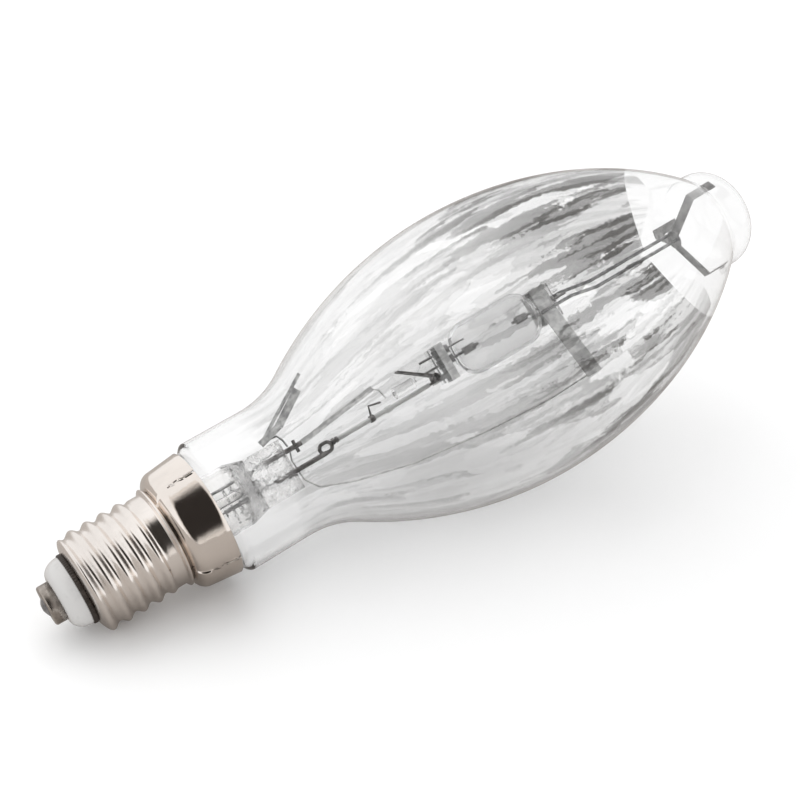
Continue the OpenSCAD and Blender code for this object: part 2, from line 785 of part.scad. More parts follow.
module starting_resistor() {
    end_r = 0.4;
    top = resistor_z + resistor_len;
    lay_down() color([0.8, 0.8, 0.8]) {
        translate([resistor_x, resistor_y, resistor_z])
            cylinder(h = resistor_len, r = resistor_r);
        bar([resistor_x, resistor_y, resistor_z - 7], [resistor_x, resistor_y, resistor_z + 1], end_r);
        wire([[resistor_x, resistor_y, top - 1], [resistor_x, resistor_y, top + 1.5],
              [-0.8, -4.6, top + 3], [-0.91, start_y, pinch_foot - 4], [-0.91, start_y, pinch_foot - 1]], end_r);
    }
}

module resistor_bracket() {
    band_z = bead_foot - 8;
    tip = resistor_z - 7.1;
    lay_down() color("dimgray") {
        along_rod()
            tube(band_z, band_z + 2, sleeve_r + 0.5, sleeve_r);
        wire([[0.5, rod_y - sleeve_r - 0.2, band_z + 1], [2.4, -4.2, band_z + 1.4],
              [resistor_x, resistor_y, tip]], 0.45);
    }
}

module start_strip() {
    end_y = -start_reach;
    end_top = bead_foot - 0.6;
    lay_down() color("gray") {
        strip(post_y, return_top + 0.15, end_y, end_top, 0.6, 2.2);
        wire([[0, end_y, end_top - 0.4], [1.5, end_y + 2, end_top + 1.5],
              [resistor_x - 0.6, resistor_y - 0.6, resistor_z - 4]], 0.35);
    }
}

module getter_strip() {
    apex_y = -12.2;
    apex_z = press_top - 5.8;
    bend_z = apex_z + 0.36*getter_len;
    outer_y = apex_y - 0.22*getter_len;
    inner_y = apex_y - 0.1*getter_len;
    lay_down() color("gray") {
        strip(apex_y, apex_z, outer_y, bend_z, 0.5, 1.4);
        strip(outer_y, bend_z, apex_y - 0.6*getter_len, apex_z + getter_len, 0.5, 1.4);
        strip(apex_y, apex_z, inner_y, bend_z, 0.6, 2.8);
        strip(inner_y, bend_z, apex_y - 0.42*getter_len, apex_z + 0.86*getter_len, 0.6, 3.2);
    }
}

module getter_support()
    lay_down() color("dimgray")
        wire([[0, post_y - post_r - 0.35, return_top - 5.5], [-0.4, post_y - 4.5, return_top - 5.9],
              [-0.71, -12.1, press_top + 1.4], [-0.71, -12.5, press_top - 3.5]], 0.4);

centre_contact();
contact_solder();
insulator();
insulator_ring();
screw_shell();
skirt_collar();
cap_cement();
outer_bulb();
stem_glass();
exhaust_tube();
lead_to_contact();
lead_to_shell();
feed_post();
return_post();
sleeve_crimp();
rod_sleeve_lower();
sleeve_bead();
rod_sleeve_upper();
feed_link();
return_wire();
arc_tube();
foils();
arc_leads();
electrode_base();
electrode_far();
starting_electrode();
clamp_base();
clamp_far();
cross_strap();
frame_rods();
far_link();
end_spring();
bimetal_switch();
starting_resistor();
resistor_bracket();
start_strip();
getter_strip();
getter_support();
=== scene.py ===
"""Clear metal halide lamp with a large screw cap, lying on a white table."""
import json
import math

import bpy
from mathutils import Matrix, Vector

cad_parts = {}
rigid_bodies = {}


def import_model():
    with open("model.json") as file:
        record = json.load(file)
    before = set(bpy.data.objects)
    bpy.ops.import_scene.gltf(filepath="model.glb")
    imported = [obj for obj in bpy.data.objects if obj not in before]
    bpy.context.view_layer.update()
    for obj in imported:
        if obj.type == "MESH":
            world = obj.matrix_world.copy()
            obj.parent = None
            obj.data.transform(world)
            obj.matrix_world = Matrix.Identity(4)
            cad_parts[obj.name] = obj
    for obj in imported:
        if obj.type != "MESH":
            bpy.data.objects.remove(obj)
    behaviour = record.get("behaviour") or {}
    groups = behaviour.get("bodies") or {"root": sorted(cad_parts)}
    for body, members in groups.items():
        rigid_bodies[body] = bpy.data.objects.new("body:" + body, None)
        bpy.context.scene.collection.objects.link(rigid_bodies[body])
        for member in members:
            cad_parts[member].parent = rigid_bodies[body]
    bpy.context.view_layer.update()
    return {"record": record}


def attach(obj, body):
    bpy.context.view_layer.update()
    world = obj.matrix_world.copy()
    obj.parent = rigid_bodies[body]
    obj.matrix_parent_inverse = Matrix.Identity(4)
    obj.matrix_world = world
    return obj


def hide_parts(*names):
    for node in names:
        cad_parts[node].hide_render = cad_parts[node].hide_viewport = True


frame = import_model()

# Sizes of the lamp in metres, along its own axis from the contact's face
CONTACT_R, CONTACT_H, CONTACT_EDGE = 0.0078, 0.0046, 0.0009
SOLDER_R, SOLDER_H = 0.004, 0.0015
INSULATOR_H, RING_R, RING_H = 0.007, 0.0142, 0.0018
RING_Z = CONTACT_H + INSULATOR_H
SHELL_Z = RING_Z + RING_H
COLLAR_Z = SHELL_Z + 0.037
RIM_Z = COLLAR_Z + 0.0166
WIDEST_Z = RIM_Z + 0.142
END_Z = WIDEST_Z + 0.129
CREST_R, THREAD_DEPTH, THREAD_PITCH = 0.01975, 0.0018, 0.00635
SHELL_WALL, CURL_H = 0.00045, 0.0024
COLLAR_RIM_R, COLLAR_SHOULDER_R, COLLAR_CURVE, COLLAR_WALL = 0.0256, 0.0242, 0.005, 0.0005
SLIT_LEN, SLIT_W, SLITS, FIRST_SLIT = 0.0056, 0.0007, 4, 52
BULB_R, NECK_R, NOSE_R, GLASS = 0.06, 0.0274, 0.0223, 0.001
BLEND_Z, NECK_BLEND = RIM_Z + 0.0296, 0.040
NOSE_EDGE, NOSE_BLEND, NOSE_LEN = 0.012, 0.003, 0.0164
CREST_Z = SHELL_Z + 0.0018
ROOT_R = CREST_R - THREAD_DEPTH
PLAIN_R = ROOT_R + 0.0007
LIP_R = RING_R - 0.0019
BEAD_R, BEAD_Z = PLAIN_R + 0.0017, COLLAR_Z - 0.0016
SEAT_R = COLLAR_SHOULDER_R - COLLAR_WALL - 0.0008
SEAL_R = ROOT_R - SHELL_WALL - 0.0016

# The eye's place round and along the lamp, found from how its round outlines are seen
EYE_TURN = math.radians(229.7)
EYE_DISTANCE, EYE_FOOT = 0.488, -0.0255
EYE_LEAN = math.radians(20.5)
FOCAL_PIXELS, PHOTO_PIXELS = 1300, 800
SENSOR = 36.0


def lamp_frame():
    """The matrix from the lamp's own axes (x towards the eye, z to the nose) to the world."""
    mount = next(m for m in frame["record"]["mounts"] if m["name"] == "centre_contact")
    along = -Vector(mount["axis"])
    foot = Vector(mount["pos_m"]) - along*0.0027
    down = Vector((0, 1, 0)).cross(along).normalized()
    side = along.cross(down)
    toward = math.cos(EYE_TURN)*down + math.sin(EYE_TURN)*side
    across = along.cross(toward)
    return Matrix(((toward.x, across.x, along.x, foot.x),
                   (toward.y, across.y, along.y, foot.y),
                   (toward.z, across.z, along.z, foot.z),
                   (0, 0, 0, 1)))


LAMP = lamp_frame()


def make_camera():
    """Looks at the lamp as the photograph does."""
    data = bpy.data.cameras.new("camera")
    camera = bpy.data.objects.new("camera", data)
    bpy.context.scene.collection.objects.link(camera)
    bpy.context.scene.camera = camera
    data.sensor_width = SENSOR
    data.lens = SENSOR*FOCAL_PIXELS/PHOTO_PIXELS
    data.clip_start, data.clip_end = 0.01, 50
    place = LAMP @ Vector((EYE_DISTANCE, 0, EYE_FOOT))
    forward = LAMP.to_3x3() @ Vector((-math.cos(EYE_LEAN), 0, math.sin(EYE_LEAN)))
    camera.location = place
    camera.rotation_euler = forward.to_track_quat("-Z", "Y").to_euler()


make_camera()


def arc(cr, cz, r, a0, a1, n):
    """Points of an arc in the plane of radius and height, angles in degrees."""
    turns = [math.radians(a0 + (a1 - a0)*i/n) for i in range(n + 1)]
    return [(cr + r*math.cos(a), cz + r*math.sin(a)) for a in turns]


def soft_step(r0, z0, r1, z1, n):
    """A soft step from one radius to another."""
    return [(r0 + (r1 - r0)*(1 - math.cos(math.pi*i/n))/2, z0 + (z1 - z0)*i/n) for i in range(n + 1)]


def smooth(v):
    v = max(0.0, min(1.0, v))
    return v*v*(3 - 2*v)


def add_piece(name, points, faces, material, replaced):
    """A smooth mesh of points that are given on the lamp."""
    mesh = bpy.data.meshes.new(name)
    mesh.from_pydata([LAMP @ Vector(p) for p in points], [], faces)
    mesh.validate()
    mesh.shade_smooth()
    mesh.materials.append(material)
    piece = bpy.data.objects.new(name, mesh)
    bpy.context.scene.collection.objects.link(piece)
    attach(piece, "root")
    if replaced:
        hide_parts(*replaced)
    return piece


def lathe(name, outline, turns, material, replaced=()):
    """Turns a closed outline of radius and height round the axis."""
    n = len(outline)
    points, rings = [], []
    for r, z in outline:
        if r < 1e-7:
            rings.append([len(points)])
            points.append((0, 0, z))
            continue
        rings.append(list(range(len(points), len(points) + turns)))
        points += [(r*math.cos(2*math.pi*j/turns), r*math.sin(2*math.pi*j/turns), z) for j in range(turns)]
    faces = []
    for i in range(n):
        low, high = rings[i], rings[(i + 1) % n]
        if len(low) == 1 and len(high) == 1:
            continue
        for j in range(turns):
            k = (j + 1) % turns
            if len(low) == 1:
                faces.append((low[0], high[k], high[j]))
            elif len(high) == 1:
                faces.append((low[j], low[k], high[0]))
            else:
                faces.append((low[j], low[k], high[k], high[j]))
    return add_piece(name, points, faces, material, replaced)


class Shader:
    """A material under construction: makes nodes, sets their values and joins them."""

    def __init__(self, name):
        self.material = bpy.data.materials.new(name)
        self.material.use_nodes = True
        self.tree = self.material.node_tree
        self.tree.nodes.clear()
        self.output = self.tree.nodes.new("ShaderNodeOutputMaterial")

    def node(self, kind, values=None, **settings):
        made = self.tree.nodes.new("ShaderNode" + kind)
        for key, value in settings.items():
            setattr(made, key, value)
        for key, value in (values or {}).items():
            made.inputs[key].default_value = value
        return made

    def group(self, tree, values=None):
        made = self.node("Group", node_tree=tree)
        for key, value in (values or {}).items():
            made.inputs[key].default_value = value
        return made

    def join(self, source, target):
        self.tree.links.new(source, target)


class Group(Shader):
    """A node group under construction, with its own sockets."""

    def __init__(self, name, inputs, outputs):
        self.tree = bpy.data.node_groups.new(name, "ShaderNodeTree")
        for label, kind, value in inputs:
            socket = self.tree.interface.new_socket(label, in_out="INPUT", socket_type="NodeSocket" + kind)
            socket.default_value = value
        for label, kind in outputs:
            self.tree.interface.new_socket(label, in_out="OUTPUT", socket_type="NodeSocket" + kind)
        self.given = self.tree.nodes.new("NodeGroupInput")
        self.result = self.tree.nodes.new("NodeGroupOutput")

    def maths(self, operation, a, b=None, c=None):
        made = self.node("Math", operation=operation)
        for i, value in enumerate((a, b, c)):
            if value is None:
                continue
            if isinstance(value, (int, float)):
                made.inputs[i].default_value = value
            else:
                self.join(value, made.inputs[i])
        return made.outputs["Value"]

    def ramp(self, value, low, high):
        made = self.node("MapRange", {"From Min": low, "From Max": high}, interpolation_type="SMOOTHSTEP")
        self.join(value, made.inputs["Value"])
        return made.outputs["Result"]


def lamp_place_group():
    """The place on the lamp: its vector in metres, and the vector's height and direction."""
    g = Group("place on the lamp", [], [("Place", "Vector"), ("Height", "Float"), ("Around", "Vector"),
                                        ("Facing", "Float")])
    here = g.node("TexCoord")
    place = g.node("Mapping", {"Location": LAMP.to_translation(), "Rotation": LAMP.to_euler()},
                   vector_type="TEXTURE")
    g.join(here.outputs["Object"], place.inputs["Vector"])
    split = g.node("SeparateXYZ")
    g.join(place.outputs["Vector"], split.inputs["Vector"])
    flat = g.node("CombineXYZ")
    g.join(split.outputs["X"], flat.inputs["X"])
    g.join(split.outputs["Y"], flat.inputs["Y"])
    around = g.node("VectorMath", operation="NORMALIZE")
    g.join(flat.outputs["Vector"], around.inputs[0])
    turn = g.node("SeparateXYZ")
    g.join(around.outputs["Vector"], turn.inputs["Vector"])
    g.join(place.outputs["Vector"], g.result.inputs["Place"])
    g.join(split.outputs["Z"], g.result.inputs["Height"])
    g.join(around.outputs["Vector"], g.result.inputs["Around"])
    g.join(turn.outputs["X"], g.result.inputs["Facing"])
    return g.tree


LAMP_PLACE = lamp_place_group()


def cloud_group():
    """Soft uneven cloud from 0 to 1 in the lamp's own place, drawn out along the axis or across it."""
    g = Group("uneven cloud", [("Stretch", "Vector", (1, 1, 1)), ("Scale", "Float", 100.0),
                               ("Low", "Float", 0.35), ("High", "Float", 0.65)], [("Cloud", "Float")])
    place = g.group(LAMP_PLACE)
    stretch = g.node("VectorMath", operation="MULTIPLY")
    g.join(place.outputs["Place"], stretch.inputs[0])
    g.join(g.given.outputs["Stretch"], stretch.inputs[1])
    noise = g.node("TexNoise", {"Detail": 5.0, "Roughness": 0.55})
    g.join(stretch.outputs["Vector"], noise.inputs["Vector"])
    g.join(g.given.outputs["Scale"], noise.inputs["Scale"])
    spread = g.node("MapRange", interpolation_type="SMOOTHSTEP")
    g.join(noise.outputs["Fac"], spread.inputs["Value"])
    g.join(g.given.outputs["Low"], spread.inputs["From Min"])
    g.join(g.given.outputs["High"], spread.inputs["From Max"])
    g.join(spread.outputs["Result"], g.result.inputs["Cloud"])
    return g.tree


CLOUD = cloud_group()


def painted_reflection_streak_group():
    """Painted reflection: ragged dark streaks that run along the bulb, standing in for the surroundings mirrored in
    the clear glass, strong on its far half and gone on its nose.
    """
    g = Group("bulb painted reflections", [], [("Painted reflection", "Float")])
    place = g.group(LAMP_PLACE)
    height, facing = place.outputs["Height"], place.outputs["Facing"]
    along = g.node("CombineXYZ")
    g.join(height, along.inputs["Z"])
    fine = g.node("TexNoise", {"Scale": 300.0, "Detail": 3.0, "Roughness": 0.6})
    g.join(place.outputs["Place"], fine.inputs["Vector"])
    ragged = g.node("VectorMath", {1: (0.5, 0.5, 0.5)}, operation="SUBTRACT")
    g.join(fine.outputs["Color"], ragged.inputs[0])
    warp = g.node("VectorMath", {1: (0.05, 0.05, 0.006)}, operation="MULTIPLY")
    g.join(ragged.outputs["Vector"], warp.inputs[0])
    ring = g.node("VectorMath", operation="ADD")
    g.join(place.outputs["Around"], ring.inputs[0])
    g.join(along.outputs["Vector"], ring.inputs[1])
    bent = g.node("VectorMath", operation="ADD")
    g.join(ring.outputs["Vector"], bent.inputs[0])
    g.join(warp.outputs["Vector"], bent.inputs[1])

    def bands(stretch, seed, detail, low, high):
        scaled = g.node("VectorMath", {1: stretch}, operation="MULTIPLY")
        g.join(bent.outputs["Vector"], scaled.inputs[0])
        noise = g.node("TexNoise", {"W": seed, "Scale": 1.0, "Detail": detail, "Roughness": 0.6},
                       noise_dimensions="4D")
        g.join(scaled.outputs["Vector"], noise.inputs["Vector"])
        return g.ramp(noise.outputs["Fac"], low, high), noise.outputs["Fac"]

    broad, broad_field = bands((3.4, 3.4, 14.0), 9.0, 2.0, 0.445, 0.455)
    ribbon, ribbon_field = bands((6.0, 6.0, 12.0), 7.0, 3.0, 0.50, 0.51)
    thread, _ = bands((15.0, 15.0, 17.0), 11.0, 2.0, 0.50, 0.53)
    bundle = g.maths("ADD", g.maths("MULTIPLY_ADD", ribbon, 0.36, 0.22), g.maths("MULTIPLY", thread, 0.32))
    layers = g.maths("ADD", g.maths("MULTIPLY", broad, bundle), g.maths("MULTIPLY", ribbon, 0.12))

    def outline(field, middle):
        away = g.maths("ABSOLUTE", g.maths("SUBTRACT", field, middle))
        return g.ramp(away, 0.006, 0.001)

    edges = g.maths("MAXIMUM", outline(broad_field, 0.45), outline(ribbon_field, 0.505))
    layers = g.maths("ADD", layers, g.maths("MULTIPLY", edges, 0.16))
    toward = g.maths("POWER", g.maths("MULTIPLY_ADD", facing, 0.5, 0.5), 2.0)
    aside = g.maths("SQRT", g.maths("SUBTRACT", 1.0, g.maths("MULTIPLY", facing, facing)))
    end = g.maths("ADD", g.maths("MULTIPLY_ADD", toward, -0.051, 0.306), g.maths("MULTIPLY", aside, 0.014))
    past_end = g.maths("LESS_THAN", height, end)
    from_neck = g.ramp(height, 0.088, 0.10)
    growing = g.maths("MULTIPLY_ADD", g.ramp(height, 0.15, 0.245), 0.70, 0.32)
    # The painted reflection is stronger on the side of the bulb that faces the camera.
    near_wall = g.maths("MULTIPLY_ADD", g.ramp(facing, -0.3, 0.2), 0.75, 0.25)
    strength = g.maths("MULTIPLY", g.maths("MULTIPLY", past_end, from_neck), g.maths("MULTIPLY", growing, near_wall))
    # A faint even grey haze that grows along the bulb is added to the streaks.
    haze = g.maths("MULTIPLY", g.ramp(height, 0.10, 0.25), 0.04)
    g.join(g.maths("MULTIPLY_ADD", layers, strength, haze), g.result.inputs["Painted reflection"])
    return g.tree


def glass_material(name, colour, ior, roughness=0.0, streaks=False, facets=0.0, clear=1.0):
    """Clear glass that lets the lamps' light through to what it covers."""
    s = Shader(name)
    body = s.node("BsdfPrincipled", {"Base Color": colour, "Roughness": roughness, "IOR": ior,
                                     "Transmission Weight": clear})
    if streaks:
        # Painted reflection: the streak mask darkens the glass colour towards dark grey where the surroundings would
        # be mirrored.
        painted_reflection = s.group(painted_reflection_streak_group())
        tint = s.node("Mix", data_type="RGBA")
        tint.inputs[6].default_value, tint.inputs[7].default_value = colour, (0.12, 0.115, 0.11, 1)
        s.join(painted_reflection.outputs["Painted reflection"], tint.inputs["Factor"])
        s.join(tint.outputs[2], body.inputs["Base Color"])
    if facets:
        noise = s.group(CLOUD, {"Scale": 170.0, "Low": 0.40, "High": 0.60})
        place = s.group(LAMP_PLACE)
        in_press = s.node("MapRange", {"From Min": RIM_Z + 0.012, "From Max": RIM_Z + 0.019})
        s.join(place.outputs["Height"], in_press.inputs["Value"])
        height = s.node("Math", operation="MULTIPLY")
        s.join(noise.outputs["Cloud"], height.inputs[0])
        s.join(in_press.outputs["Result"], height.inputs[1])
        bump = s.node("Bump", {"Strength": facets, "Distance": 0.0025})
        s.join(height.outputs["Value"], bump.inputs["Height"])
        s.join(bump.outputs["Normal"], body.inputs["Normal"])
    open_glass = s.node("BsdfTransparent", {"Color": (0.89, 0.89, 0.89, 1)})
    path = s.node("LightPath")
    mix = s.node("MixShader")
    s.join(path.outputs["Is Shadow Ray"], mix.inputs["Fac"])
    s.join(body.outputs["BSDF"], mix.inputs[1])
    s.join(open_glass.outputs["BSDF"], mix.inputs[2])
    s.join(mix.outputs["Shader"], s.output.inputs["Surface"])
    return s.material


def metal_material(name, bright, dull, smooth_at, rough_at, stretch=(1, 1, 1), scale=120.0, dents=0.0):
    """Metal whose colour and roughness wander between a bright and a dull state."""
    s = Shader(name)
    body = s.node("BsdfPrincipled", {"Metallic": 1.0})
    wear = s.group(CLOUD, {"Stretch": stretch, "Scale": scale})
    tint = s.node("Mix", data_type="RGBA")
    tint.inputs[6].default_value, tint.inputs[7].default_value = bright, dull
    s.join(wear.outputs["Cloud"], tint.inputs["Factor"])
    s.join(tint.outputs[2], body.inputs["Base Color"])
    rough = s.node("MapRange", {"To Min": smooth_at, "To Max": rough_at})
    s.join(wear.outputs["Cloud"], rough.inputs["Value"])
    s.join(rough.outputs["Result"], body.inputs["Roughness"])
    if dents:
        waves = s.group(CLOUD, {"Scale": 90.0, "Low": 0.2, "High": 0.8})
        bump = s.node("Bump", {"Strength": dents, "Distance": 0.0006})
        s.join(waves.outputs["Cloud"], bump.inputs["Height"])
        s.join(bump.outputs["Normal"], body.inputs["Normal"])
    s.join(body.outputs["BSDF"], s.output.inputs["Surface"])
    return s.material


def plain_material(name, colour, roughness, spots=None):
    s = Shader(name)
    body = s.node("BsdfPrincipled", {"Base Color": colour, "Roughness": roughness})
    if spots:
        wear = s.group(CLOUD, {"Scale": 260.0, "Low": 0.55, "High": 0.75})
        tint = s.node("Mix", data_type="RGBA")
        tint.inputs[6].default_value, tint.inputs[7].default_value = colour, spots
        s.join(wear.outputs["Cloud"], tint.inputs["Factor"])
        s.join(tint.outputs[2], body.inputs["Base Color"])
    s.join(body.outputs["BSDF"], s.output.inputs["Surface"])
    return s.material


# The bulb glass carries painted reflection streaks in its colour.
bulb_glass = glass_material("bulb_glass", (0.99, 0.99, 0.99, 1), 1.45, streaks=True)
stem_glass = glass_material("stem_glass", (0.99, 0.985, 0.98, 1), 1.42, facets=1.0)
clear_tube = glass_material("clear_tube", (0.97, 0.97, 0.97, 1), 1.45)
sleeve_glass = glass_material("sleeve_glass", (0.88, 0.88, 0.87, 1), 1.3, roughness=0.25, clear=0.4)
quartz = glass_material("quartz", (1, 1, 1, 1), 1.15, roughness=0.1, clear=0.85)
collar_nickel = metal_material("collar_nickel", (0.89, 0.825, 0.77, 1), (0.80, 0.74, 0.69, 1), 0.07, 0.16,
                               (1, 1, 0.35), 70.0, 0.12)
nickel = metal_material("nickel_plate", (0.95, 0.895, 0.85, 1), (0.84, 0.79, 0.75, 1), 0.16, 0.27,
                        (1, 1, 0.35), 70.0, 0.10)
contact_metal = metal_material("contact_nickel", (0.50, 0.46, 0.42, 1), (0.34, 0.30, 0.27, 1), 0.22, 0.42,
                               scale=300.0)
solder_metal = metal_material("solder", (0.42, 0.42, 0.43, 1), (0.25, 0.25, 0.26, 1), 0.3, 0.5, scale=500.0,
                              dents=0.5)
dark_metal = metal_material("dark_wire", (0.20, 0.19, 0.185, 1), (0.08, 0.075, 0.07, 1), 0.3, 0.5, scale=500.0)
grey_metal = metal_material("nickel_wire", (0.36, 0.36, 0.36, 1), (0.20, 0.20, 0.20, 1), 0.3, 0.5, scale=500.0)
strap_metal = metal_material("strap", (0.30, 0.295, 0.29, 1), (0.20, 0.195, 0.19, 1), 0.35, 0.55, scale=300.0)
pale_metal = metal_material("pale_strip", (0.85, 0.85, 0.84, 1), (0.65, 0.65, 0.65, 1), 0.45, 0.6, scale=400.0)
getter_metal = metal_material("getter", (0.62, 0.62, 0.61, 1), (0.28, 0.28, 0.28, 1), 0.3, 0.5, scale=350.0)
white_glaze = plain_material("white_ceramic", (0.60, 0.59, 0.58, 1), 0.12, (0.54, 0.53, 0.52, 1))
cement = plain_material("cement", (0.75, 0.72, 0.66, 1), 0.8)
ring_black = plain_material("dark_ring", (0.035, 0.026, 0.02, 1), 0.45, (0.07, 0.055, 0.045, 1))

BY_SLOT = {"contact_nickel": contact_metal, "solder": solder_metal, "white_ceramic": white_glaze,
           "dark_ring": ring_black, "nickel_plate": nickel, "cement": cement, "bulb_glass": bulb_glass,
           "stem_glass": stem_glass, "nickel_wire": grey_metal, "dark_wire": dark_metal,
           "sleeve": sleeve_glass, "nickel_strip": pale_metal, "quartz": quartz, "molybdenum": strap_metal,
           "tungsten": dark_metal, "spring_steel": strap_metal, "bimetal": dark_metal,
           "resistor": clear_tube, "getter": getter_metal}
PALE_NODES = ("return_wire", "clamp_base", "clamp_far", "far_link", "feed_link")
for part in frame["record"]["subparts"]:
    node = bpy.data.objects[part["node"]]
    node.data.materials.clear()
    pale = part["node"] in PALE_NODES
    node.data.materials.append(pale_metal if pale else BY_SLOT[part["material_slot"]])


def bulb_outline(shift):
    """The bulb from the seal in the cap to the middle of the nose; below zero, its inside."""
    blend_dz = WIDEST_Z - BLEND_Z
    neck_curve = ((NECK_R + NECK_BLEND - BULB_R)**2 + blend_dz**2 - NECK_BLEND**2)/(2*(BULB_R - NECK_R))
    foot_r = NOSE_R + NOSE_BLEND
    foot_dz = END_Z - NOSE_LEN - WIDEST_Z
    nose_curve = ((BULB_R - foot_r)**2 + foot_dz**2 - NOSE_BLEND**2)/(2*(NOSE_BLEND + BULB_R - foot_r))
    neck_drop, nose_drop = neck_curve - BULB_R, nose_curve - BULB_R
    blend_angle = math.degrees(math.atan2(blend_dz, -(NECK_R + NECK_BLEND + neck_drop)))
    foot_angle = math.degrees(math.atan2(foot_dz, foot_r + nose_drop))
    return ([(SEAL_R + shift, COLLAR_Z - 0.017)]
            + soft_step(SEAL_R + shift, COLLAR_Z - 0.001, SEAT_R + shift, COLLAR_Z + 0.009, 12)
            + soft_step(SEAT_R + shift, RIM_Z, NECK_R + shift, RIM_Z + 0.0045, 10)
            + arc(NECK_R + NECK_BLEND, BLEND_Z, NECK_BLEND - shift, 180, blend_angle, 12)
            + arc(-neck_drop, WIDEST_Z, neck_curve + shift, blend_angle - 180, 0, 28)[1:]
            + arc(-nose_drop, WIDEST_Z, nose_curve + shift, 0, foot_angle, 34)[1:]
            + arc(foot_r, WIDEST_Z + foot_dz, NOSE_BLEND - shift, 180 + foot_angle, 180, 8)[1:]
            + arc(NOSE_R - NOSE_EDGE, END_Z - NOSE_EDGE, NOSE_EDGE + shift, 0, 90, 16)
            + [(0, END_Z + shift)])


lathe("clear_bulb", bulb_outline(-0.00004) + bulb_outline(-GLASS)[::-1], 160, bulb_glass, ["outer_bulb"])


def thread_r(z, a):
    return ROOT_R + THREAD_DEPTH*(1 + math.cos(2*math.pi*(z - CREST_Z)/THREAD_PITCH - a))/2


def shell_r(z, a):
    """Radius of the shell's outside: a curled lip, the rolled thread, a plain part and a bead."""
    curl = min(1.0, (z - SHELL_Z)/CURL_H)
    body = thread_r(z, a) + (PLAIN_R - thread_r(z, a))*smooth((z - BEAD_Z + 0.008)/0.004)
    off = z - BEAD_Z
    bead = (BEAD_R - PLAIN_R)*(1 + math.cos(math.radians(off*120000)))/2 if abs(off) < 0.0015 else 0
    return LIP_R + (body + bead - LIP_R)*math.sqrt(1 - (1 - curl)**2)


def rolled_shell():
    """One thin sheet rolled into the thread: an outer grid of points and an inner one."""
    turns, steps = 150, 150
    heights = [SHELL_Z + CURL_H*u for u in (0, 0.01, 0.03, 0.06, 0.1, 0.16, 0.24, 0.32, 0.44, 0.56, 0.7, 0.85)]
    low = SHELL_Z + CURL_H
    heights += [low + (COLLAR_Z - low)*i/steps for i in range(steps + 1)]
    points, faces = [], []
    for inside in (False, True):
        for z in heights:
            u = math.pi/2*min(1.0, (z - SHELL_Z)/CURL_H)
            for j in range(turns):
                a = 2*math.pi*j/turns
                r = shell_r(z, a) - (SHELL_WALL*math.sin(u) if inside else 0)
                points.append((r*math.cos(a), r*math.sin(a), z + (SHELL_WALL*math.cos(u) if inside else 0)))
    rows = len(heights)
    for i in range(rows - 1):
        for j in range(turns):
            k = (j + 1) % turns
            a, b, c, d = i*turns + j, i*turns + k, (i + 1)*turns + k, (i + 1)*turns + j
            faces.append((a, b, c, d))
            m = rows*turns
            faces.append((m + a, m + d, m + c, m + b))
    for j in range(turns):
        k = (j + 1) % turns
        m, top = rows*turns, (rows - 1)*turns
        faces.append((m + j, m + k, k, j))
        faces.append((top + j, top + k, m + top + k, m + top + j))
    return add_piece("rolled_screw_shell", points, faces, nickel, ["screw_shell"])


rolled_shell()


def collar():
    """The collar: a bent sheet turned round the axis, with its rim cut at the lock slits."""
    shoulder_z = COLLAR_Z + COLLAR_CURVE
    middle = COLLAR_SHOULDER_R - COLLAR_CURVE

    def profile(top):
        """Points up the outside and down the inside, cut off at the given height."""
        def out_r(z):
            return COLLAR_SHOULDER_R + (COLLAR_RIM_R - COLLAR_SHOULDER_R)*(z - shoulder_z)/(RIM_Z - shoulder_z)
        heights = [shoulder_z + (top - shoulder_z)*i/6 for i in range(1, 7)]
        lip = 0.00015
        outside = [(out_r(z), z) for z in heights[:-1]] + [(out_r(top), top - lip), (out_r(top) - lip, top)]
        inside = [(out_r(top) - COLLAR_WALL + lip, top), (out_r(top) - COLLAR_WALL, top - lip)]
        inside += [(out_r(z) - COLLAR_WALL, z) for z in heights[-2::-1]]
        return ([(PLAIN_R - SHELL_WALL, COLLAR_Z)] + arc(middle, shoulder_z, COLLAR_CURVE, -90, 0, 14) + outside
                + inside + arc(middle, shoulder_z, COLLAR_CURVE - COLLAR_WALL, 0, -90, 14)
                + [(PLAIN_R - SHELL_WALL, COLLAR_Z + COLLAR_WALL)])

    half = math.degrees(SLIT_W/2/COLLAR_RIM_R)
    slit_edges = []
    for i in range(SLITS):
        middle_angle = FIRST_SLIT + 360*i/SLITS
        slit_edges.append((middle_angle - half, middle_angle + half))
    columns = []
    for i in range(SLITS):
        start, end = slit_edges[i][1], slit_edges[(i + 1) % SLITS][0] + (360 if i == SLITS - 1 else 0)
        columns += [(start + (end - start)*j/40, RIM_Z) for j in range(41)]
        columns += [(end, RIM_Z - SLIT_LEN), (end + 2*half, RIM_Z - SLIT_LEN)]
    rings = [[(r*math.cos(math.radians(a)), r*math.sin(math.radians(a)), z) for r, z in profile(top)]
             for a, top in columns]
    n = len(rings[0])
    points = [p for ring in rings for p in ring]
    faces = []
    for i in range(len(columns)):
        k = (i + 1) % len(columns)
        for j in range(n):
            m = (j + 1) % n
            faces.append((i*n + j, k*n + j, k*n + m, i*n + m))
    piece = add_piece("slit_collar", points, faces, collar_nickel, ["skirt_collar"])
    return piece


collar()

CONTACT_OUTLINE = ([(0, 0)] + arc(CONTACT_R - CONTACT_EDGE, CONTACT_EDGE, CONTACT_EDGE, -90, 0, 10)
                   + [(CONTACT_R, CONTACT_H), (0, CONTACT_H)])
lathe("contact_button", CONTACT_OUTLINE, 96, contact_metal, ["centre_contact"])


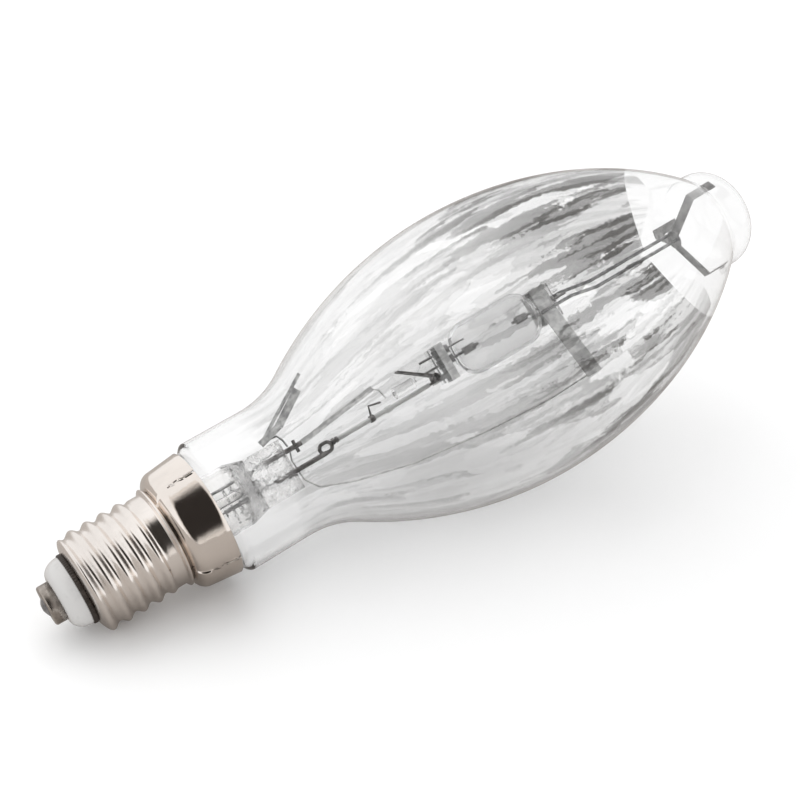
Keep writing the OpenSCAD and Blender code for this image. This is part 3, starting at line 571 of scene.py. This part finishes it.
def solder_drop():
    """A cooled drop of solder, a little lumpy."""
    turns, rows = 64, 14
    sphere = (SOLDER_R**2 + SOLDER_H**2)/(2*SOLDER_H)
    points, faces = [(0, 0, -SOLDER_H*0.98)], []
    for i in range(1, rows + 1):
        r = SOLDER_R*i/rows
        drop = sphere - SOLDER_H - math.sqrt(sphere**2 - r**2)
        for j in range(turns):
            a = 2*math.pi*j/turns
            lump = 0.90 + 0.08*math.sin(3*a + 1)*math.sin(4*r/SOLDER_R)
            edge = 1 - 0.06*(1 + math.sin(5*a + 2))*i/rows
            points.append((r*edge*math.cos(a), r*edge*math.sin(a), drop*lump if i < rows else 0))
    for j in range(turns):
        k = (j + 1) % turns
        faces.append((0, 1 + k, 1 + j))
        for i in range(rows - 1):
            a, b = 1 + i*turns, 1 + (i + 1)*turns
            faces.append((a + j, a + k, b + k, b + j))
    faces.append([1 + (rows - 1)*turns + j for j in range(turns)])
    return add_piece("solder_drop", points, faces, solder_metal, ["contact_solder"])


solder_drop()

FOOT_R, DOME_R, FLANGE_Z = CONTACT_R + 0.0006, RING_R - 0.0005, SHELL_Z + SHELL_WALL + 0.0003
DOME = [(FOOT_R + (DOME_R - FOOT_R)*math.sin(math.pi/2*i/28), CONTACT_H + INSULATOR_H*(1 - math.cos(math.pi/2*i/28)))
        for i in range(29)]
SEAT = RING_R - 0.002
lathe("glazed_insulator", [(0, CONTACT_H)] + DOME + [(SEAT, RING_Z), (SEAT, FLANGE_Z), (SEAT + 0.002, FLANGE_Z),
      (SEAT + 0.002, FLANGE_Z + 0.0016), (0, FLANGE_Z + 0.0016)], 128, white_glaze, ["insulator"])


def ribbed_ring():
    """The dark ring, its edge pressed into fine ribs."""
    ribs, per_rib = 80, 6
    turns = ribs*per_rib
    outline = [(SEAT, RING_Z), (RING_R - 0.0003, RING_Z), (RING_R, RING_Z + 0.0003), (RING_R, SHELL_Z - 0.0003),
               (RING_R - 0.0003, SHELL_Z), (SEAT, SHELL_Z)]
    points = []
    for j in range(turns):
        a = 2*math.pi*j/turns
        dip = 0.00022*(1 + math.cos(2*math.pi*j/per_rib))/2
        points += [((r - (dip if r > SEAT + 0.001 else 0))*math.cos(a), (r - (dip if r > SEAT + 0.001 else 0))*math.sin(a), z)
                   for r, z in outline]
    n = len(outline)
    faces = [(j*n + i, (j + 1) % turns*n + i, (j + 1) % turns*n + (i + 1) % n, j*n + (i + 1) % n)
             for j in range(turns) for i in range(n)]
    return add_piece("ribbed_ring", points, faces, ring_black, ["insulator_ring"])


ribbed_ring()


def board_material(name):
    """A dark board that fades to pale at its edges."""
    s = Shader(name)
    body = s.node("BsdfPrincipled", {"Roughness": 1.0})
    here = s.node("TexCoord")
    centred = s.node("Mapping", {"Location": (-1, -1, 0), "Scale": (2, 2, 0)})
    s.join(here.outputs["Generated"], centred.inputs["Vector"])
    away = s.node("VectorMath", operation="LENGTH")
    s.join(centred.outputs["Vector"], away.inputs[0])
    fade = s.node("MapRange", {"From Min": 0.6, "From Max": 1.0}, interpolation_type="SMOOTHSTEP")
    s.join(away.outputs["Value"], fade.inputs["Value"])
    tint = s.node("Mix", data_type="RGBA")
    tint.inputs[6].default_value, tint.inputs[7].default_value = (0.02, 0.016, 0.014, 1), (0.75, 0.72, 0.69, 1)
    s.join(fade.outputs["Result"], tint.inputs["Factor"])
    s.join(tint.outputs[2], body.inputs["Base Color"])
    s.join(body.outputs["BSDF"], s.output.inputs["Surface"])
    return s.material


def dark_card(name, place, width, height):
    """A dark board beside the camera that only shows as a reflection in the metal."""
    mesh = bpy.data.meshes.new(name)
    x, y = width/2, height/2
    mesh.from_pydata([(-x, -y, 0), (x, -y, 0), (x, y, 0), (-x, y, 0)], [], [(0, 1, 2, 3)])
    mesh.materials.append(board_material(name))
    card = bpy.data.objects.new(name, mesh)
    bpy.context.scene.collection.objects.link(card)
    card.location = LAMP @ Vector(place)
    card.rotation_euler = (LAMP @ Vector((0, 0, 0.05)) - card.location).to_track_quat("-Z", "Y").to_euler()
    card.visible_camera = card.visible_diffuse = card.visible_transmission = card.visible_shadow = False


dark_card("dark_board", (0.60, -0.07, -0.02), 1.0, 1.4)


def table_material():
    """A white table whose colour is painted darker and warmer for glossy rays: painted shade on the table, seen only
    where the metal mirrors it.
    """
    s = Shader("table_white")
    body = s.node("BsdfPrincipled", {"Roughness": 0.9})
    path = s.node("LightPath")
    tint = s.node("Mix", data_type="RGBA")
    # Painted shade: the table is a warm mid-grey in glossy rays, so the metal mirrors a shaded table.
    tint.inputs[6].default_value, tint.inputs[7].default_value = (0.95, 0.95, 0.95, 1), (0.43, 0.40, 0.375, 1)
    painted_shade_in_mirror = s.node("Math", operation="SUBTRACT", use_clamp=True)
    s.join(path.outputs["Is Glossy Ray"], painted_shade_in_mirror.inputs[0])
    s.join(path.outputs["Is Transmission Ray"], painted_shade_in_mirror.inputs[1])
    s.join(painted_shade_in_mirror.outputs["Value"], tint.inputs["Factor"])
    s.join(tint.outputs[2], body.inputs["Base Color"])
    s.join(body.outputs["BSDF"], s.output.inputs["Surface"])
    return s.material


def set_stage():
    """A pale table that keeps the lamp's shadow, under plain soft light."""
    mesh = bpy.data.meshes.new("table")
    reach = 6.0
    mesh.from_pydata([(-reach, -reach, 0), (reach, -reach, 0), (reach, reach, 0), (-reach, reach, 0)], [], [(0, 1, 2, 3)])
    table = bpy.data.objects.new("table", mesh)
    bpy.context.scene.collection.objects.link(table)
    mesh.materials.append(table_material())
    world = bpy.data.worlds.new("studio")
    bpy.context.scene.world = world
    world.use_nodes = True
    sky = world.node_tree
    glow = sky.nodes["Background"]
    glow.inputs["Color"].default_value = (1, 1, 1, 1)
    path = sky.nodes.new("ShaderNodeLightPath")
    strength = sky.nodes.new("ShaderNodeMapRange")
    strength.inputs["To Min"].default_value, strength.inputs["To Max"].default_value = 1.0, 1.1
    sky.links.new(path.outputs["Is Camera Ray"], strength.inputs["Value"])
    sky.links.new(strength.outputs["Result"], glow.inputs["Strength"])
    lamp = bpy.data.lights.new("soft_box", "AREA")
    lamp.shape, lamp.size, lamp.energy = "SQUARE", 1.2, 5
    box = bpy.data.objects.new("soft_box", lamp)
    box.location = (-0.15, 0.6, 1.2)
    box.rotation_euler = (Vector((0, 0, 0)) - box.location).to_track_quat("-Z", "Y").to_euler()
    box.visible_glossy = False
    bpy.context.scene.collection.objects.link(box)


set_stage()
bpy.context.scene.view_settings.view_transform = "Standard"
